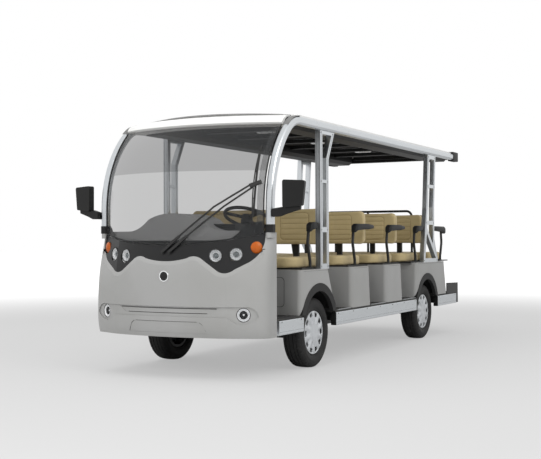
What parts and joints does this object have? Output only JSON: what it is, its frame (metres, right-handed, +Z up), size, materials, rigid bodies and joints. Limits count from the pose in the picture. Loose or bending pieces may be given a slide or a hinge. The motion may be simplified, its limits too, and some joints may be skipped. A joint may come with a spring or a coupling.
{
  "type": "electric shuttle bus",
  "caption": "Open-sided electric shuttle bus with bench seats in rows, a bowed windshield, tube hoops and a flat ribbed roof, on steerable front wheels.",
  "frame": {"origin": "on the ground, centred on the overall box", "axes": "+Z up, -Y towards the front of the vehicle, +X towards its left side"},
  "size_m": [2.0852, 4.95, 2.0476],
  "materials": {
    "frp_grey": "satin grey paint on moulded panel",
    "frp_white": "gloss white paint on moulded panel",
    "alu": "satin anodised",
    "black_gloss": "gloss",
    "black_matte": "grained",
    "dash_grey": "grained",
    "lamp_chrome": "reflector",
    "lamp_glass": "clear",
    "amber": "amber lens",
    "red_lens": "red lens",
    "screen_glass": "laminated, shaded top",
    "chassis_paint": "black chassis paint",
    "deck_mat": "ribbed floor mat",
    "vinyl_beige": "stitched beige vinyl",
    "tyre": "rubber",
    "wheel_silver": "silver paint",
    "battery_case": "steel case"
  },
  "bodies": {
    "chassis": {"chassis_frame": "chassis_paint", "cross_members": "chassis_paint", "floor_deck": "deck_mat", "sill_panels": "alu", "front_cowl": "frp_grey", "lamp_mask": "black_gloss", "headlamps": "lamp_chrome", "headlamp_lenses": "lamp_glass", "turn_lamps": "amber", "fog_lamps": "lamp_chrome", "emblem_disc": "black_gloss", "windshield": "screen_glass", "roof_hoops": "alu", "pillar_collars": "black_matte", "roof_brow": "frp_white", "roof_panel": "frp_white", "roof_slabs": "frp_white", "roof_beams": "black_matte", "roof_rear_cap": "black_matte", "curtain_housings": "black_matte", "b_pillars": "alu", "rear_pillars": "alu", "seat_box_1": "frp_grey", "seat_box_2": "frp_grey", "seat_box_3": "frp_grey", "seat_box_4": "frp_grey", "wheel_houses": "black_matte", "seat_row_1": "vinyl_beige", "seat_row_2": "vinyl_beige", "seat_row_3": "vinyl_beige", "seat_row_4": "vinyl_beige", "seat_row_5": "vinyl_beige", "seat_supports": "black_matte", "armrests": "black_matte", "rear_handrail": "black_matte", "dashboard": "dash_grey", "steering_column": "black_matte", "mirrors": "black_matte", "wiper": "black_matte", "rear_step": "chassis_paint", "tail_lamps": "red_lens", "front_axle": "chassis_paint", "rear_axle": "chassis_paint", "battery_pack": "battery_case"},
    "steering_wheel": {"steering_wheel": "black_matte"},
    "knuckle_left": {"knuckle_left": "chassis_paint"},
    "knuckle_right": {"knuckle_right": "chassis_paint"},
    "wheel_front_left": {"wheel_front_left": "wheel_silver", "tyre_front_left": "tyre"},
    "wheel_front_right": {"wheel_front_right": "wheel_silver", "tyre_front_right": "tyre"},
    "wheel_rear_left": {"wheel_rear_left": "wheel_silver", "tyre_rear_left": "tyre"},
    "wheel_rear_right": {"wheel_rear_right": "wheel_silver", "tyre_rear_right": "tyre"}
  },
  "joints": [
    {"name": "steer_left", "type": "hinge", "parent": "chassis", "child": "knuckle_left", "pos_m": [0.6, -1.35, 0.286], "axis": [0, 0, 1], "range_deg": [-28, 28]},
    {"name": "steer_right", "type": "hinge", "parent": "chassis", "child": "knuckle_right", "pos_m": [-0.6, -1.35, 0.286], "axis": [0, 0, 1], "range_deg": [-28, 28]},
    {"name": "steering_wheel_turn", "type": "hinge", "parent": "chassis", "child": "steering_wheel", "pos_m": [0.35, -1.8, 1.22], "axis": [0, 0.4226, 0.9063], "range_deg": [-450, 450]},
    {"name": "roll_front_left", "type": "hinge", "parent": "knuckle_left", "child": "wheel_front_left", "pos_m": [0.65, -1.35, 0.286], "axis": [1, 0, 0], "continuous": true},
    {"name": "roll_front_right", "type": "hinge", "parent": "knuckle_right", "child": "wheel_front_right", "pos_m": [-0.65, -1.35, 0.286], "axis": [1, 0, 0], "continuous": true},
    {"name": "roll_rear_left", "type": "hinge", "parent": "chassis", "child": "wheel_rear_left", "pos_m": [0.65, 1.38, 0.286], "axis": [1, 0, 0], "continuous": true},
    {"name": "roll_rear_right", "type": "hinge", "parent": "chassis", "child": "wheel_rear_right", "pos_m": [-0.65, 1.38, 0.286], "axis": [1, 0, 0], "continuous": true}
  ],
  "couplings": [
    {"joint": "steer_right", "follows": "steer_left", "ratio": 1},
    {"joint": "steering_wheel_turn", "follows": "steer_left", "ratio": 16}
  ]
}
